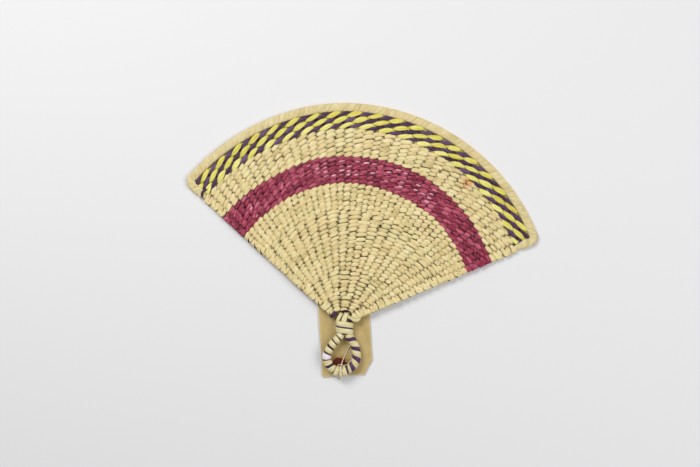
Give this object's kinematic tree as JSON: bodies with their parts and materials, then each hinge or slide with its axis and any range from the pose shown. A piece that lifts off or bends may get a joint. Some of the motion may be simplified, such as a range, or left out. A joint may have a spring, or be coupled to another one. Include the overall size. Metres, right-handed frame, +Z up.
{
  "type": "palm leaf hand fan",
  "caption": "Stiff fan-shaped hand fan of twined palm leaf strips on spreading ribs, with coloured bands, a plaited rim, a wrapped loop handle and a paper tag on a string.",
  "frame": {"origin": "middle of the footprint of the fan and its tag, without the string, on the surface the fan lies on", "axes": "+X across the blade, +Y from the handle loop towards the rim, +Z up out of the face of the blade"},
  "size_m": [0.3212, 0.2494, 0.0138],
  "materials": {
    "rib_leaf": "matte dried leaf rib",
    "straw_leaf": "satin dried palm leaf",
    "magenta_leaf": "satin dyed palm leaf",
    "yellow_leaf": "satin dyed palm leaf",
    "purple_leaf": "satin dyed palm leaf",
    "wrap_straw": "satin pale palm leaf",
    "wrap_purple": "satin dyed palm leaf",
    "manila_card": "matte manila card, bare",
    "fibre_patch": "matte red-brown fibre",
    "cotton_string": "matte twisted cotton"
  },
  "bodies": {
    "fan": {"rib_01": "rib_leaf", "rib_02": "rib_leaf", "rib_03": "rib_leaf", "rib_04": "rib_leaf", "rib_05": "rib_leaf", "rib_06": "rib_leaf", "rib_07": "rib_leaf", "rib_08": "rib_leaf", "rib_09": "rib_leaf", "rib_10": "rib_leaf", "rib_11": "rib_leaf", "rib_12": "rib_leaf", "rib_13": "rib_leaf", "rib_14": "rib_leaf", "rib_15": "rib_leaf", "rib_16": "rib_leaf", "rib_17": "rib_leaf", "rib_18": "rib_leaf", "rib_19": "rib_leaf", "rib_20": "rib_leaf", "rib_21": "rib_leaf", "rib_22": "rib_leaf", "rib_23": "rib_leaf", "rib_24": "rib_leaf", "rib_25": "rib_leaf", "rib_26": "rib_leaf", "rib_27": "rib_leaf", "rib_28": "rib_leaf", "rib_29": "rib_leaf", "rib_30": "rib_leaf", "rib_31": "rib_leaf", "rib_32": "rib_leaf", "rib_33": "rib_leaf", "rib_34": "rib_leaf", "rib_35": "rib_leaf", "rib_36": "rib_leaf", "rib_37": "rib_leaf", "rib_38": "rib_leaf", "rib_39": "rib_leaf", "rib_40": "rib_leaf", "weft_neck": "straw_leaf", "weft_inner": "straw_leaf", "weft_middle": "straw_leaf", "weft_magenta": "magenta_leaf", "weft_outer": "straw_leaf", "stripe_yellow_1": "yellow_leaf", "stripe_purple_1": "purple_leaf", "stripe_yellow_2": "yellow_leaf", "stripe_purple_2": "purple_leaf", "stripe_yellow_3": "yellow_leaf", "stripe_purple_3": "purple_leaf", "rim_border": "straw_leaf", "handle_core": "rib_leaf", "neck_binding": "wrap_straw", "loop_wrap_straw": "wrap_straw", "loop_wrap_purple": "wrap_purple", "loop_hitch": "wrap_straw"},
    "tag": {"tag_card": "manila_card", "tag_patch": "fibre_patch", "tag_string": "cotton_string"}
  },
  "joints": [
    {"name": "tag_swing", "type": "hinge", "parent": "fan", "child": "tag", "pos_m": [0.00574, -0.11608, 0.00725], "axis": [-0.9857, -0.1685, 0], "range_deg": [0, 180]}
  ]
}
